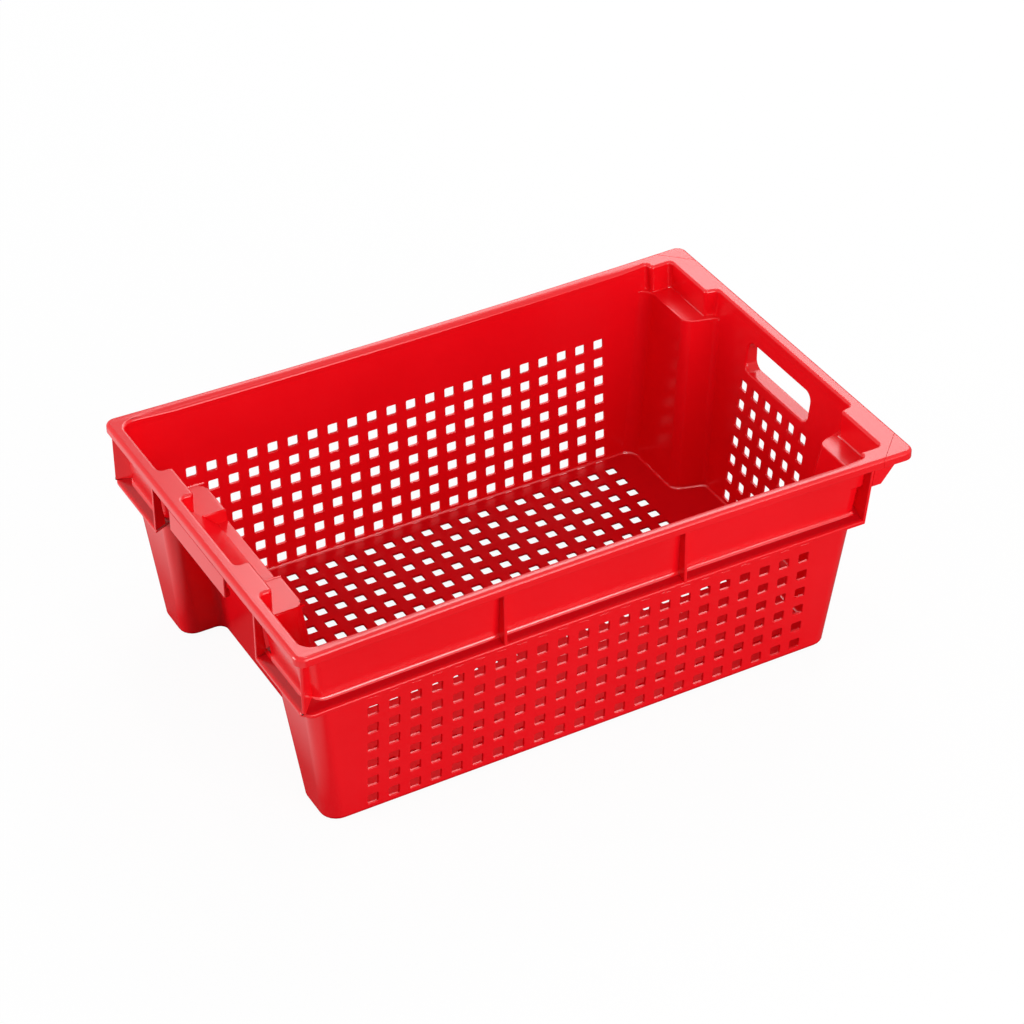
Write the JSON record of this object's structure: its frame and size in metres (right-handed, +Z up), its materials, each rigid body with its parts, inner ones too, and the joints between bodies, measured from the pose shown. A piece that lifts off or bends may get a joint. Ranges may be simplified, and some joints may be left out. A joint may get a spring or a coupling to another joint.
{
  "type": "stack and nest crate",
  "caption": "Red perforated plastic harvest crate with tapered sides, corner legs, stacking ledges, a hand slot, a grip bar and a turned-down rim; nests one way and stacks turned half round.",
  "frame": {"origin": "on the floor plane, under the middle of the rim", "axes": "+X along the crate to the end with the hand slot, +Y across it to the rear, +Z up out of the open top"},
  "size_m": [0.6, 0.391, 0.206],
  "materials": {
    "crate_red": "semi-gloss moulded"
  },
  "bodies": {
    "root": {"base_panel": "crate_red", "column_front": "crate_red", "column_rear": "crate_red", "corner_rib_front": "crate_red", "corner_rib_rear": "crate_red", "corner_web_front": "crate_red", "corner_web_rear": "crate_red", "foot_pads": "crate_red", "grip_backstop_front": "crate_red", "grip_backstop_rear": "crate_red", "grip_bar": "crate_red", "grip_ledge_front": "crate_red", "grip_ledge_rear": "crate_red", "leg_front": "crate_red", "leg_rear": "crate_red", "recess_wall": "crate_red", "rib_grip_front": "crate_red", "rib_grip_rear": "crate_red", "rib_slot_front": "crate_red", "rib_slot_rear": "crate_red", "rim_corner_front": "crate_red", "rim_corner_rear": "crate_red", "rim_front": "crate_red", "rim_grip_end": "crate_red", "rim_rear": "crate_red", "rim_slot_end": "crate_red", "scoop": "crate_red", "side_wall_front": "crate_red", "side_wall_rear": "crate_red", "skirt_cheek_front": "crate_red", "skirt_cheek_rear": "crate_red", "skirt_end_front": "crate_red", "skirt_end_rear": "crate_red", "skirt_front": "crate_red", "skirt_rear": "crate_red", "skirt_stop_front": "crate_red", "skirt_stop_rear": "crate_red", "slot_backstop_front": "crate_red", "slot_backstop_rear": "crate_red", "slot_end_wall": "crate_red", "slot_frame": "crate_red", "slot_ledge_front": "crate_red", "slot_ledge_rear": "crate_red"}
  },
  "joints": []
}
